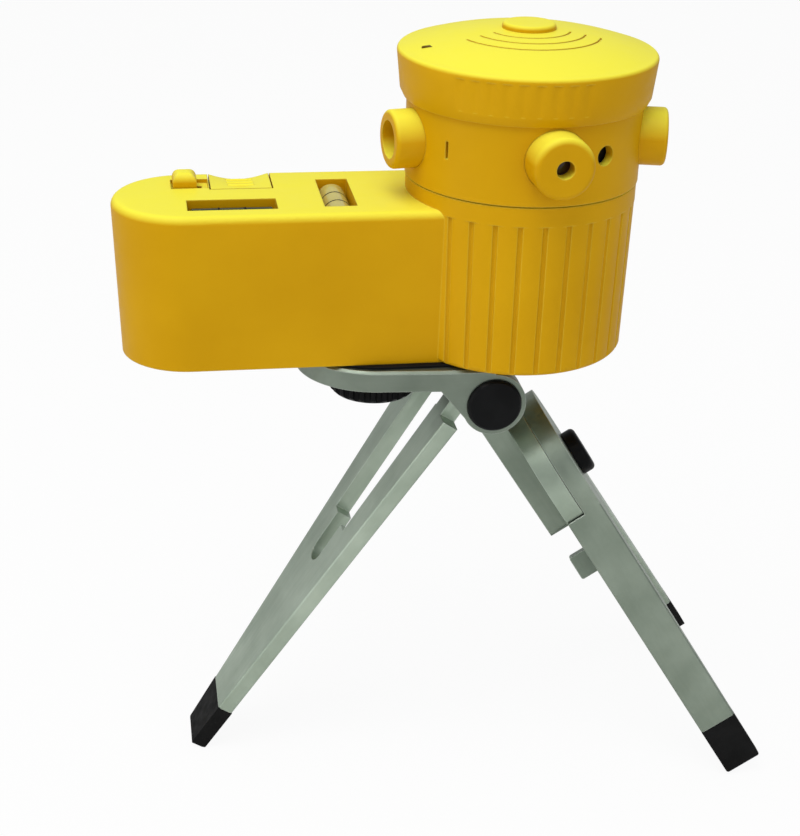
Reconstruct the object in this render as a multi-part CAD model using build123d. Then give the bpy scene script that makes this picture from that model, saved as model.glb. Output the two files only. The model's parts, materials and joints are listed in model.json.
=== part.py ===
"""Rotating-head laser level on a folding pocket tripod. Millimetres, +Z up.

Working frame while the pieces are made: the head turns about the Z axis, the battery arm
points along -X, and the leveller's underside is at Z = 0. At the end every piece is moved
so that the origin lies on the ground at the centre of the whole object's box.
"""

import os
from math import atan2, cos, degrees, pi, radians, sin, sqrt, tan

from build123d import *

# ---- driving dimensions ---------------------------------------------------------------

# Leveller: ribbed base cylinder
BASE_R = 21.8  # crest radius of the ribs under the collar
BASE_DRAFT = 1.1  # degrees, narrower towards the bottom
BASE_FOOT_ROUND = 1.1
RIB_COUNT = 30
RIB_DEPTH = 0.55
RIB_CROWN = 0.12  # how far a rib stands proud at its middle
RIB_GROOVE = 1.3  # half the groove's width, in degrees round the axis
RIB_TOP = 29.4
BASE_H = 33.0
WALL = 1.7
EDGE_ROUND = 0.8

# Leveller: battery arm
ARM_END = 76.8  # distance of the rounded end from the head's axis
ARM_HALF_W = 13.7  # at the top face
ARM_H = 30.1
ARM_DRAFT = 1.9
ARM_EDGE_R = 1.6

# Bottom cover, its screws and the camera-thread insert
COVER_T = 2.0
SCREW_R = 1.1
COVER_SCREW_RING = 15.6
COVER_SCREW_ANGLE = 60.0
INSERT_X = -27.4
INSERT_R = 4.6
INSERT_H = 6.2
INSERT_WALL = 1.7
CAMERA_THREAD_R = 3.175

# Cells and battery cover
CELL_R = 5.25
CELL_L = 44.5  # nipple included
CELL_NIPPLE, CELL_NIPPLE_R = 1.0, 1.9
CELL_PITCH = 10.8
CELL_Z = 14.8
CELL_X0 = -68.2
CONTACT_T = 0.4
TRAY_T = 0.8
DOOR_X0, DOOR_X1 = -70.0, -24.0
DOOR_Z0, DOOR_Z1 = 5.4, 22.0
TAB_X0, TAB_X1 = -58.2, -46.8
TAB_Y0 = 3.0
DOOR_PIN_R = 0.5
DOOR_GAP = 0.25
DISH_W = 12.6
DISH_DEPTH = 1.5
PAD_RIBS = 3
PAD_W, PAD_L = 5.0, 8.6

# Spirit vials
VIAL_R = 2.7
VIAL_L = 15.4
VIAL_WINDOW = (16.3, 6.0)
VIAL_SUNK = 0.7  # top of the vial below the arm's top face
VIAL_LONG = (-54.9, -6.4)
VIAL_CROSS = (-35.2, -0.6)
WELL_WALL = 1.0

# Slide switch
KNOB = (4.5, 5.0, 2.6)
KNOB_X, KNOB_Y = -62.95, 6.5
KNOB_TRAVEL = 1.8
KNOB_ROUND = 1.9
KNOB_RECESS = 0.8
STEM_L, STEM_W, STEM_DROP = 2.2, 1.5, 4.1
KNOB_GAP = 0.3
BOARD_T = 1.2
BOARD_Z = 21.0

# Rotating head
HEAD_R = 22.0
HEAD_WALL = 1.8
HEAD_TOP = 54.0
HEAD_GAP = 0.3
FLANGE_Z0, FLANGE_T = 34.3, 1.4
COLLAR_R, COLLAR_BORE = 17.6, 14.6
COLLAR_TOP = 36.2
RING_R, RING_T = 19.5, 1.4
RING_SCREW_R = 0.8
BEAM_Z = 41.7
NOZZLE_R = 5.65
NOZZLE_REACH = 27.5
NOZZLE_INNER = 19.9
NOZZLE_ROUND = 1.2
SIDE_NOZZLE_ROUND = 0.8
NOZZLE_ANGLES = (2.8, 77.0, 182.0, -80.0)  # from -Y towards +X: forward, right, rear, left
SIDE_NOZZLE_R = 5.4
SIDE_NOZZLE_REACH = 26.6
SIDE_BEAM_DROP = 0.5
DETENT_STEP = 90
SEAT_FIT = 0.04  # between pieces that seat in one another and do not move
PINHOLE_R = 1.65
LENS_RECESS_R, LENS_RECESS = 3.5, 2.6
LENS_R, LENS_T = 2.9, 1.2
PORT_ANGLE, PORT_R = 29.0, 1.85
SLIT_ANGLE, SLIT_W, SLIT_H = -51.0, 0.6, 3.2

# Cap
CAP_R_TOP, CAP_R_BOTTOM = 24.0, 23.3
CAP_Z0, CAP_RIM_Z = 47.9, 56.7
CAP_BEVEL = 1.3
CAP_APEX_Z = 60.3
CAP_WALL = 1.6
FLUTE_STEP = 7.0
FLUTE_R = 3.0
FLUTE_FROM, FLUTE_TO = -42.0, 14.0
FLUTE_DEPTH = 0.14
PLUG_R, PLUG_TOP, PLUG_STEM_R = 4.95, 61.4, 2.6
CAP_RINGS = (7.6, 10.4, 13.2)
CAP_RING_GROOVE = 0.35
CAP_RING_SPREAD = 70.0  # degrees each side of the front

# Laser module
LASER_R, LASER_L, LASER_FRONT = 4.5, 22.0, 13.4
CRADLE_W, CRADLE_L = 11.6, 16.0
DETENT_R, DETENT_RING = 1.5, 18.6

# Tripod hinge
HINGE_X, HINGE_Z = -6.3, -7.8
KNUCKLE_R = 6.2
HINGE_HALF_W = 16.1
HINGE_PIN_R = 2.0
PIN_FIT = 0.08
SIDE_GAP = 0.3
CENTRE_KNUCKLE_HALF = 6.7
LEG_KNUCKLE_OUT = 11.7
HINGE_CAP_R, HINGE_CAP_T = 5.2, 0.9

# Head plate, pad and thumb wheel
PLATE_HALF_W = 15.3
PLATE_TOP, PLATE_BOTTOM = -0.5, -4.6
PLATE_EDGE = 0.5
PAD_INSET = 1.3
GUSSET, GUSSET_FOOT = 10.5, 0.43  # length, and its foot as a share of the knuckle
WHEEL_R, WHEEL_TOP, WHEEL_BOTTOM = 8.6, -4.9, -10.3
WHEEL_FLUTES = 24
WHEEL_FLUTE_R = 0.7
SCREW_CLEAR = 0.3

# Broad leg
BROAD_ANGLE = 32.4  # from the vertical
BROAD_IN, BROAD_OUT = 2.8, 6.1  # distances of its faces from the hinge axis
BROAD_START = 8.2
BROAD_HALF_W = 15.4
BROAD_TAPER = 6.67
SLOT_HALF_TOP, SLOT_HALF_END, SLOT_END = 7.1, 5.4, 41.5
CATCH_HALF, CATCH_END = 2.7, 52.2

# Leg pair and its bracket
PAIR_ANGLE = 32.8
PAIR_IN, PAIR_OUT = -1.0, 6.8
BRACKET_T, BRACKET_HALF_W, BRACKET_END = 4.7, 4.9, 39.8
FACE_GAP = 0.1
PIVOT_AT = 27.8
PIVOT_R = 2.0
LAP_R = 15.7
LAP_GAP = 0.3
SPREAD = 19.0
PAIR_TAPER = 8.67
PAIR_HALF_W = 14.6  # outer edge's distance from the closing line, at the pivot
PAIR_LEN = 64.0
CATCH_PEG = (18.0, 23.3, 2.2, 4.1)  # from, to, width, height
PIVOT_CAP_R, PIVOT_CAP_T = 4.8, 2.8

# Feet
FOOT_L = 11.3
SPIGOT_L, SPIGOT_WALL = 6.5, 0.9
FOOT_ROUND = 0.9
GROUND_FLAT = 0.5  # how much of each foot's lowest corner is worn flat
LEG_ROUND = 0.5

# ---- worked-out places -----------------------------------------------------------------

HINGE = Vector(HINGE_X, 0, HINGE_Z)
BROAD_DIR = Vector(-sin(radians(BROAD_ANGLE)), 0, -cos(radians(BROAD_ANGLE)))
BROAD_OUTWARD = Vector(-cos(radians(BROAD_ANGLE)), 0, sin(radians(BROAD_ANGLE)))
BROAD = Plane(origin=HINGE, x_dir=BROAD_DIR, z_dir=BROAD_OUTWARD)
PAIR_DIR = Vector(sin(radians(PAIR_ANGLE)), 0, -cos(radians(PAIR_ANGLE)))
PAIR_OUTWARD = Vector(cos(radians(PAIR_ANGLE)), 0, sin(radians(PAIR_ANGLE)))
PAIR = Plane(origin=HINGE, x_dir=PAIR_DIR, z_dir=PAIR_OUTWARD)
PIVOT = Plane(origin=HINGE + PAIR_DIR * PIVOT_AT, x_dir=PAIR_DIR, z_dir=PAIR_OUTWARD)

LAP_MID = (PAIR_IN + PAIR_OUT) / 2
PAIR_FOOT_END = PAIR_LEN + FOOT_L
PAIR_LOW = PIVOT_AT + PAIR_FOOT_END * cos(radians(SPREAD))
LOWEST = HINGE_Z - PAIR_LOW * cos(radians(PAIR_ANGLE)) + PAIR_IN * sin(radians(PAIR_ANGLE))
BROAD_END = (HINGE_Z - LOWEST + BROAD_IN * sin(radians(BROAD_ANGLE))) / cos(radians(BROAD_ANGLE))
BROAD_LEN = BROAD_END - FOOT_L
GROUND_Z = LOWEST + GROUND_FLAT

CAP_SLOPE_R = CAP_R_TOP - EDGE_ROUND
TRAY_END = CELL_X0 + CELL_L + 3.2
VIAL_Z = ARM_H - VIAL_SUNK - VIAL_R
REACH = 200.0  # longer than anything it cuts


# ---- small helpers ---------------------------------------------------------------------


def block(x0, x1, y0, y1, z0, z1):
    """A box from its lowest corner to its highest."""
    size = Vector(x1 - x0, y1 - y0, z1 - z0)
    middle = Vector((x0 + x1) / 2, (y0 + y1) / 2, (z0 + z1) / 2)
    return Location(middle) * Box(size.X, size.Y, size.Z)


def rod(radius, z0, z1, x=0.0, y=0.0):
    """An upright round bar."""
    return Location((x, y, (z0 + z1) / 2)) * Cylinder(radius, z1 - z0)


def tube(outer, inner, z0, z1, x=0.0, y=0.0):
    return rod(outer, z0, z1, x, y) - rod(inner, z0 - 1, z1 + 1, x, y)


def bar_y(radius, y0, y1, x, z):
    """A round bar along Y."""
    return Location((x, (y0 + y1) / 2, z), (90, 0, 0)) * Cylinder(radius, y1 - y0)


def bar_x(radius, x0, x1, y, z):
    """A round bar along X."""
    return Location(((x0 + x1) / 2, y, z), (0, 90, 0)) * Cylinder(radius, x1 - x0)


def radial(angle, height):
    """A place on the head's axis whose Z points outwards, angle degrees from -Y towards +X."""
    a = radians(angle)
    outwards = Vector(sin(a), -cos(a), 0)
    return Plane(origin=(0, 0, height), x_dir=(cos(a), sin(a), 0), z_dir=outwards).location


def slab(points, z0, z1):
    """An upright prism over a polygon."""
    return extrude(Location((0, 0, z0)) * make_face(Polyline(*points, close=True)), z1 - z0)


def base_radius(z, depth=0.0):
    return BASE_R - (RIB_TOP - z) * tan(radians(BASE_DRAFT)) - depth


def on_circle(radius, angle, z):
    return Vector(radius * cos(angle), radius * sin(angle), z)


def rib_profile(z, depth=0.0):
    """Outline of the ribbed cylinder at height z: a wide crowned rib, then a narrow groove."""
    crest = base_radius(z, depth)
    side = crest - RIB_CROWN
    valley = crest - RIB_DEPTH
    step = 2 * pi / RIB_COUNT
    groove = radians(RIB_GROOVE)
    start = -pi / 2
    arcs = []
    for i in range(RIB_COUNT):
        a0 = start + step * i + groove
        a1 = start + step * (i + 1) - groove
        low, high = on_circle(side, a0, z), on_circle(side, a1, z)
        after = on_circle(side, a1 + 2 * groove, z)
        arcs.append(ThreePointArc(low, on_circle(crest, (a0 + a1) / 2, z), high))
        arcs.append(ThreePointArc(high, on_circle(valley, a1 + groove, z), after))
    return Face(Wire(arcs))


def arm_outline(inset=0.0):
    """Half-round arm seen from above, at the level of its underside."""
    half = ARM_HALF_W - ARM_H * tan(radians(ARM_DRAFT)) - inset
    centre = -(ARM_END - ARM_H * tan(radians(ARM_DRAFT))) + inset + half
    straight = Location((centre / 2, 0)) * Rectangle(-centre, 2 * half)
    return straight + Location((centre, 0)) * Circle(half)


def arm_solid(inset=0.0, top=ARM_H):
    return extrude(arm_outline(inset), top, taper=-ARM_DRAFT)


def base_cone(z0, z1, inset):
    """Plain drafted cylinder inside the ribbed one."""
    low, high = base_radius(z0) - inset, base_radius(z1) - inset
    return Location((0, 0, (z0 + z1) / 2)) * Cone(low, high, z1 - z0)


def leg_half_width(s):
    return BROAD_HALF_W - (s - BROAD_START) * tan(radians(BROAD_TAPER))


def pair_half_width(s):
    return PAIR_HALF_W - s * tan(radians(PAIR_TAPER))


def shell_skin():
    """The leveller's one-piece outer wall before any opening is made in it."""
    ribs = loft([rib_profile(0), rib_profile(RIB_TOP)], ruled=True)
    soft = rod(base_radius(0), 0, RIB_TOP)
    soft = fillet(soft.edges().filter_by(GeomType.CIRCLE).group_by(Axis.Z)[0], BASE_FOOT_ROUND)
    low = block(-REACH, REACH, -REACH, REACH, 0, BASE_FOOT_ROUND)
    ribs = (ribs - low) + (ribs & low & soft)
    collar = rod(BASE_R, RIB_TOP, BASE_H)
    arm = arm_solid()
    arm = fillet(arm.faces().sort_by(Axis.Z)[-1].edges(), ARM_EDGE_R)
    outer = ribs + collar + arm
    inside = arm_solid(WALL, ARM_H - WALL) + base_cone(-1, BASE_H - WALL, WALL + RIB_DEPTH)
    inside += block(-ARM_END / 2, 0, -ARM_HALF_W / 2, ARM_HALF_W / 2, -1, ARM_H - WALL)
    return outer - inside


def dish():
    """Shallow finger scoop that deepens towards the arm's far top edge."""
    radius = (DISH_W**2 / 4 + DISH_DEPTH**2) / (2 * DISH_DEPTH)
    middle = (TAB_X0 + TAB_X1) / 2
    lean = degrees(atan2(DISH_DEPTH, ARM_HALF_W - TAB_Y0))
    place = Location((middle, TAB_Y0, ARM_H), (-lean, 0, 0))
    return place * bar_y(radius, -2, 2 * ARM_HALF_W, 0, radius)


def door_region(gap=0.0):
    """Where the battery cover lies: a long panel on the far wall and a tab over the top."""
    panel = block(DOOR_X0 - gap, DOOR_X1 + gap, TAB_Y0, REACH, DOOR_Z0 - gap, DOOR_Z1 + gap)
    tab = block(TAB_X0 - gap, TAB_X1 + gap, TAB_Y0 - gap, REACH, DOOR_Z1 - 1, ARM_H + 1)
    return panel + tab


def door_hinge():
    """Axis of the battery cover along X: its distance from the middle, and its height."""
    z = DOOR_Z0 + WALL / 2
    outside = ARM_HALF_W - (ARM_H - z) * tan(radians(ARM_DRAFT))
    return outside - WALL / 2 - DOOR_GAP / 2, z


# ---- leveller --------------------------------------------------------------------------


def screw_places():
    """Bottom-cover screws: one in the arm's rounded end, two under the head."""
    a = radians(COVER_SCREW_ANGLE)
    ring = COVER_SCREW_RING
    return [(CELL_X0 - 3.0, 0), (ring * cos(a), ring * sin(a)), (ring * cos(a), -ring * sin(a))]


def vial_well(centre, turn):
    """A moulded pocket under a window in the arm's top."""
    length, width = VIAL_WINDOW
    deep = VIAL_SUNK + 2 * VIAL_R + 0.4
    place = Location((centre[0], centre[1], ARM_H - deep / 2), (0, 0, turn))
    inside = place * Box(length, width, deep + 0.02)
    wall = 2 * WELL_WALL
    outside = place * Box(length + wall, width + wall, deep - WALL / 2)
    return outside, inside


def base_housing():
    body = shell_skin() - door_region(DOOR_GAP) - dish()
    hinge_y, hinge_z = door_hinge()
    for centre, turn in ((VIAL_LONG, 0), (VIAL_CROSS, 90)):
        outside, inside = vial_well(centre, turn)
        body = body + outside - inside
    # head bearing on the roof of the cylinder
    body += tube(COLLAR_R, COLLAR_BORE, BASE_H - WALL, COLLAR_TOP)
    body -= rod(COLLAR_BORE, 0, BASE_H + 1)
    body += cradle_bridge()
    for i in range(3):
        spot = Location((0, 0, 0), (0, 0, 120 * i + 30)) * rod(
            RING_SCREW_R, COLLAR_TOP - 3, COLLAR_TOP + 1, (COLLAR_R + COLLAR_BORE) / 2
        )
        body -= spot
    body -= rod(DETENT_R + 0.1, BASE_H - WALL - 1, BASE_H + 1, DETENT_RING)
    # switch track in the arm's top
    length = KNOB[0] + KNOB_TRAVEL + 2 * KNOB_GAP
    middle = KNOB_X + KNOB_TRAVEL / 2
    half = KNOB[1] / 2 + KNOB_GAP
    track = (middle - length / 2, middle + length / 2, KNOB_Y - half, KNOB_Y + half)
    body -= block(*track, ARM_H - KNOB_RECESS, ARM_H + 1)
    slot_l = (STEM_L + KNOB_TRAVEL) / 2 + KNOB_GAP
    slot_w = STEM_W / 2 + KNOB_GAP
    slot = (middle - slot_l, middle + slot_l, KNOB_Y - slot_w, KNOB_Y + slot_w)
    body -= block(*slot, ARM_H - STEM_DROP, ARM_H)
    # bosses for the bottom cover's screws
    for x, y in screw_places():
        roof = ARM_H if x < -BASE_R else BASE_H
        body += rod(2 * SCREW_R, COVER_T, roof - WALL / 2, x, y)
        body -= rod(SCREW_R + SEAT_FIT, COVER_T - 1, COVER_T + 8, x, y)
    body -= bar_x(DOOR_PIN_R + PIN_FIT, DOOR_X0 - 1.4, DOOR_X1 + 1.4, hinge_y, hinge_z)
    return body


def cradle_bridge():
    """A bar across the bearing's opening that the laser's cradle stands on."""
    half = CRADLE_W / 2 + 1
    bridge = block(-half, half, -COLLAR_R, COLLAR_R, BASE_H - WALL, BASE_H)
    return bridge & rod(COLLAR_R - 0.5, BASE_H - WALL, BASE_H)


def bottom_cover():
    gap = 0.15
    plate = extrude(arm_outline(WALL + gap), COVER_T, taper=-ARM_DRAFT)
    plate += base_cone(0, COVER_T, WALL + RIB_DEPTH + gap)
    plate += block(-ARM_END / 2, 0, -ARM_HALF_W / 2, ARM_HALF_W / 2, 0, COVER_T)
    plate += rod(INSERT_R + INSERT_WALL, 0, INSERT_H + 0.6, INSERT_X)
    plate -= rod(INSERT_R, 0.6, INSERT_H + 1, INSERT_X)
    plate -= rod(CAMERA_THREAD_R + SCREW_CLEAR, -1, 2, INSERT_X)
    for x, y in screw_places():
        plate -= rod(SCREW_R + SEAT_FIT, -1, COVER_T + 1, x, y)
        plate -= rod(2 * SCREW_R, -1, 1.1, x, y)
    return plate


def cover_screws():
    made = []
    for x, y in screw_places():
        screw = rod(2 * SCREW_R - 0.1, 0.2, 1.1, x, y) + rod(SCREW_R, 1.1, COVER_T + 6, x, y)
        screw -= block(x - 2, x + 2, y - 0.25, y + 0.25, 0, 0.6)
        screw -= block(x - 0.25, x + 0.25, y - 2, y + 2, 0, 0.6)
        made.append(screw)
    return made


def thread_insert():
    body = rod(INSERT_R, 0.6, INSERT_H, INSERT_X)
    for z in (2.2, 3.8):
        body -= tube(INSERT_R + 1, INSERT_R - 0.5, z, z + 0.5, INSERT_X)
    return body - rod(CAMERA_THREAD_R + 0.1, 0, INSERT_H + 1, INSERT_X)


def battery_tray():
    """A floor under the cells on two long walls that stand on the bottom cover."""
    floor_z = CELL_Z - CELL_R - 0.1
    half = CELL_PITCH / 2 + 3.6
    ends = (CELL_X0, TRAY_END)
    tray = block(*ends, -half, half, floor_z - TRAY_T, floor_z)
    for side in (-1, 1):
        y = side * (half - TRAY_T / 2)
        tray += block(ends[0], INSERT_X - 8, y - TRAY_T / 2, y + TRAY_T / 2, COVER_T, floor_z)
    for x in (ends[0], ends[1] - TRAY_T):
        tray += block(x, x + TRAY_T, -half, half, floor_z - TRAY_T, floor_z + 3)
    return tray


def cells():
    """Two AAA cells laid head to tail."""
    made = []
    start = CELL_X0 + TRAY_T + CONTACT_T + 0.1
    end = start + CELL_L
    for side in (-1, 1):
        y = side * CELL_PITCH / 2
        low = start if side > 0 else start + CELL_NIPPLE
        high = end - CELL_NIPPLE if side > 0 else end
        cell = bar_x(CELL_R, low, high, y, CELL_Z) + bar_x(CELL_NIPPLE_R, start, end, y, CELL_Z)
        made.append(cell)
    return made


def battery_contacts():
    """Sheet contacts at both ends of the cells."""
    high = CELL_Z + CELL_R - 0.6
    low = CELL_Z - CELL_R + 0.1
    half = CELL_PITCH / 2 + 3.0
    x = CELL_X0 + TRAY_T
    made = [block(x, x + CONTACT_T, -half, half, low, high)]
    x += CONTACT_T + CELL_L + 0.2
    for side in (-1, 1):
        y = side * CELL_PITCH / 2
        made.append(block(x, x + CONTACT_T, y - 3, y + 3, low, high))
    return made


def slide_switch():
    """The switch's metal can on the board, under the knob's track."""
    middle = KNOB_X + KNOB_TRAVEL / 2
    top = ARM_H - WALL - 0.6
    return block(middle - 4.4, middle + 4.4, KNOB_Y - 2, KNOB_Y + 2, BOARD_Z + BOARD_T, top - 2)


def circuit_board():
    board = block(-68.6, -26, -9.3, 9.0, BOARD_Z, BOARD_Z + BOARD_T)
    board += block(-45, -41, 3, 6, BOARD_Z + BOARD_T, BOARD_Z + BOARD_T + 1.2)
    board += block(-30, -28, -3, 3, BOARD_Z + BOARD_T, BOARD_Z + BOARD_T + 1.0)
    return board


def switch_knob():
    length, width, height = KNOB
    base_z = ARM_H - KNOB_RECESS + 0.1
    top = block(KNOB_X - length / 2, KNOB_X + length / 2, KNOB_Y - width / 2, KNOB_Y + width / 2,
                base_z, ARM_H + height)
    top = fillet(top.faces().sort_by(Axis.Z)[-1].edges(), KNOB_ROUND)
    stem = block(KNOB_X - STEM_L / 2, KNOB_X + STEM_L / 2, KNOB_Y - STEM_W / 2,
                 KNOB_Y + STEM_W / 2, ARM_H - STEM_DROP, base_z + 0.2)
    return top + stem


def battery_cover():
    """Panel on the far wall with a finger tab that reaches over the top edge."""
    hinge_y, hinge_z = door_hinge()
    cover = (shell_skin() - dish()) & door_region()
    keep = bar_x(WALL / 2 + DOOR_GAP / 2, DOOR_X0, DOOR_X1, hinge_y, hinge_z)
    low = block(DOOR_X0 - 1, DOOR_X1 + 1, 0, REACH, DOOR_Z0 - 1, hinge_z)
    cover = (cover - low) + keep
    cover += bar_x(DOOR_PIN_R, DOOR_X0 - 1.2, DOOR_X1 + 1.2, hinge_y, hinge_z)
    middle = (TAB_X0 + TAB_X1) / 2
    pitch = PAD_L / PAD_RIBS
    for i in range(PAD_RIBS):
        y = TAB_Y0 + 1.0 + pitch * (i + 0.5)
        depth = DISH_DEPTH * (y - TAB_Y0) / (ARM_HALF_W - TAB_Y0)
        cover += bar_x(0.7, middle - PAD_W / 2, middle + PAD_W / 2, y, ARM_H - depth - 0.25)
    return cover


def vial(centre, turn):
    """Clear barrel with flat ends."""
    place = Location((centre[0], centre[1], VIAL_Z), (0, 0, turn))
    barrel = place * bar_x(VIAL_R, -VIAL_L / 2, VIAL_L / 2, 0, 0)
    return chamfer(barrel.edges().filter_by(GeomType.CIRCLE), 0.4)


# ---- head ------------------------------------------------------------------------------


def nozzle_place(index):
    """A nozzle's place, whose Z points outwards, with its radius and its reach."""
    if index == 0:
        return radial(NOZZLE_ANGLES[0], BEAM_Z), NOZZLE_R, NOZZLE_REACH
    place = radial(NOZZLE_ANGLES[index], BEAM_Z - SIDE_BEAM_DROP)
    return place, SIDE_NOZZLE_R, SIDE_NOZZLE_REACH


def turret():
    body = tube(HEAD_R, HEAD_R - HEAD_WALL, BASE_H + HEAD_GAP, HEAD_TOP)
    inner = COLLAR_R + HEAD_GAP
    body += tube(HEAD_R - HEAD_WALL / 2, inner, FLANGE_Z0, FLANGE_Z0 + FLANGE_T)
    for index in range(len(NOZZLE_ANGLES)):
        place, radius, reach = nozzle_place(index)
        body -= place * rod(radius + SEAT_FIT, HEAD_R / 2, reach)
    for angle in range(0, 360, DETENT_STEP):
        a = radians(angle)
        body -= Location((DETENT_RING * cos(a), DETENT_RING * sin(a), FLANGE_Z0)) * Sphere(0.9)
    body -= radial(PORT_ANGLE, BEAM_Z) * rod(PORT_R, HEAD_R / 2, HEAD_R * 2)
    body -= radial(SLIT_ANGLE, BEAM_Z) * block(
        -SLIT_W / 2, SLIT_W / 2, -SLIT_H / 2, SLIT_H / 2, HEAD_R / 2, HEAD_R * 2
    )
    return body


def nozzle(index):
    """Barrel that stands out of the turret: a pinhole in front, lens seats elsewhere."""
    place, radius, reach = nozzle_place(index)
    body = rod(radius, NOZZLE_INNER, reach)
    body = fillet(body.edges().group_by(Axis.Z)[-1], SIDE_NOZZLE_ROUND if index else NOZZLE_ROUND)
    opening = PINHOLE_R if index == 0 else LENS_RECESS_R
    body -= rod(opening, reach - LENS_RECESS, reach + 1)
    body -= rod(LENS_R, NOZZLE_INNER - 1, reach - LENS_RECESS - 0.4)
    body -= rod(min(opening, LENS_R - 0.6), NOZZLE_INNER, reach)
    return place * body


def lens(index):
    """Glass seated behind each nozzle's opening: plain, or with a rod across it."""
    place, radius, reach = nozzle_place(index)
    z1 = reach - LENS_RECESS - 0.4
    body = rod(LENS_R - SEAT_FIT, z1 - LENS_T, z1)
    bars = {0: (), 1: (0,), 2: (0, 90), 3: (90,)}[index]
    for turn in bars:
        body += Location((0, 0, z1), (0, 0, turn)) * bar_x(0.55, -2.1, 2.1, 0, 0)
    return place * body


def cap():
    """Lid over the turret: drafted skirt, bevelled lower edge and a shallow dome."""
    top_r = CAP_R_TOP
    slope = (CAP_APEX_Z - CAP_RIM_Z) / (CAP_SLOPE_R - PLUG_R)
    outline = [
        (HEAD_R + SEAT_FIT, CAP_Z0),
        (CAP_R_BOTTOM - CAP_BEVEL * 0.5, CAP_Z0),
        (CAP_R_BOTTOM, CAP_Z0 + CAP_BEVEL),
        (top_r, CAP_RIM_Z - EDGE_ROUND),
    ]
    inner_top = CAP_RIM_Z - CAP_WALL
    profile = Polyline(*[(x, 0, z) for x, z in outline])
    rim = ThreePointArc(
        (top_r, 0, CAP_RIM_Z - EDGE_ROUND),
        (top_r - EDGE_ROUND * (1 - sqrt(0.5)), 0, CAP_RIM_Z - EDGE_ROUND * (1 - sqrt(0.5))),
        (CAP_SLOPE_R, 0, CAP_RIM_Z),
    )
    middle_r = (CAP_SLOPE_R + PLUG_R) / 2
    crown = 0.6
    dome = ThreePointArc(
        (CAP_SLOPE_R, 0, CAP_RIM_Z),
        (middle_r, 0, CAP_RIM_Z + slope * (CAP_SLOPE_R - middle_r) + crown),
        (PLUG_R, 0, CAP_APEX_Z),
    )
    rest = Polyline(
        (PLUG_R, 0, CAP_APEX_Z),
        (PLUG_STEM_R, 0, CAP_APEX_Z),
        (PLUG_STEM_R, 0, CAP_APEX_Z - 2.5),
        (CAP_SLOPE_R - 5, 0, inner_top),
        (HEAD_R + SEAT_FIT, 0, inner_top),
        (HEAD_R + SEAT_FIT, 0, CAP_Z0),
    )
    body = revolve(make_face([*profile.edges(), rim, dome, *rest.edges()]), Axis.Z, 360)
    body += tube(HEAD_R, HEAD_R - HEAD_WALL, HEAD_TOP, inner_top + 0.01)
    steps = int(round((FLUTE_TO - FLUTE_FROM) / FLUTE_STEP))
    for side in (0, 180):
        for i in range(steps + 1):
            angle = FLUTE_FROM + FLUTE_STEP * i + side
            cut = rod(FLUTE_R, CAP_Z0 + CAP_BEVEL + 0.3, CAP_RIM_Z - 1.4)
            lean = degrees(atan2(CAP_R_TOP - CAP_R_BOTTOM, CAP_RIM_Z - CAP_Z0))
            reach = (CAP_R_TOP + CAP_R_BOTTOM) / 2 + FLUTE_R - FLUTE_DEPTH
            mid = (CAP_Z0 + CAP_RIM_Z) / 2
            cut = Location((0, -reach, mid), (lean, 0, 0)) * Location((0, 0, -mid)) * cut
            body -= Location((0, 0, 0), (0, 0, angle)) * cut
    for radius in CAP_RINGS:
        body -= arc_groove(radius, slope, crown)
    return body


def arc_groove(radius, slope, crown):
    """Shallow groove that follows a third of a circle in front of the centre plug."""
    t = (CAP_SLOPE_R - radius) / (CAP_SLOPE_R - PLUG_R)
    z = CAP_RIM_Z + slope * (CAP_SLOPE_R - radius) + 4 * crown * t * (1 - t)
    half = CAP_RING_GROOVE / 2
    ring = tube(radius + half, radius - half, z - 0.3, z + 1.5)
    spread = radians(CAP_RING_SPREAD)
    far = radius * 2
    wedge = slab([(0, 0), (-far * sin(spread), -far * cos(spread)), (0, -far * 1.5),
                  (far * sin(spread), -far * cos(spread))], z - 1, z + 2)
    return ring & wedge


def centre_plug():
    """Button-shaped plug over the cap's centre hole."""
    head = rod(PLUG_R, CAP_APEX_Z, PLUG_TOP)
    head = fillet(head.edges().group_by(Axis.Z)[-1], 0.7)
    return head + rod(PLUG_STEM_R - 0.05, CAP_APEX_Z - 2.2, CAP_APEX_Z + 0.1)


def retaining_ring():
    body = tube(RING_R, COLLAR_BORE, COLLAR_TOP, COLLAR_TOP + RING_T)
    for i in range(3):
        place = Location((0, 0, 0), (0, 0, 120 * i + 30))
        body -= place * rod(RING_SCREW_R, 0, COLLAR_TOP + 5, (COLLAR_R + COLLAR_BORE) / 2)
    return body


def ring_screws():
    made = []
    x = (COLLAR_R + COLLAR_BORE) / 2
    top = COLLAR_TOP + RING_T
    for i in range(3):
        screw = rod(RING_SCREW_R, COLLAR_TOP - 2.8, top, x) + rod(1.4, top, top + 0.7, x)
        screw -= block(x - 2, x + 2, -0.2, 0.2, top + 0.35, top + 1)
        made.append(Location((0, 0, 0), (0, 0, 120 * i + 30)) * screw)
    return made


def laser_module():
    """Brass barrel with a stepped nose that fires through the forward nozzle."""
    body = rod(LASER_R, LASER_FRONT - LASER_L, LASER_FRONT - 1.5)
    body += rod(LASER_R - 0.7, LASER_FRONT - 1.5, LASER_FRONT)
    body -= rod(1.8, LASER_FRONT - 2.5, LASER_FRONT + 1)
    for z in (LASER_FRONT - 4.0, LASER_FRONT - 5.2):
        body -= tube(LASER_R + 1, LASER_R - 0.3, z, z + 0.5)
    return radial(NOZZLE_ANGLES[0], BEAM_Z) * body


def laser_lens():
    lens_body = rod(1.8, LASER_FRONT - 2.5, LASER_FRONT - 1.4)
    return radial(NOZZLE_ANGLES[0], BEAM_Z) * lens_body


def laser_board():
    back = LASER_FRONT - LASER_L
    return radial(NOZZLE_ANGLES[0], BEAM_Z) * block(-3.2, 3.2, -0.5, 0.5, back - 9, back)


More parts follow.
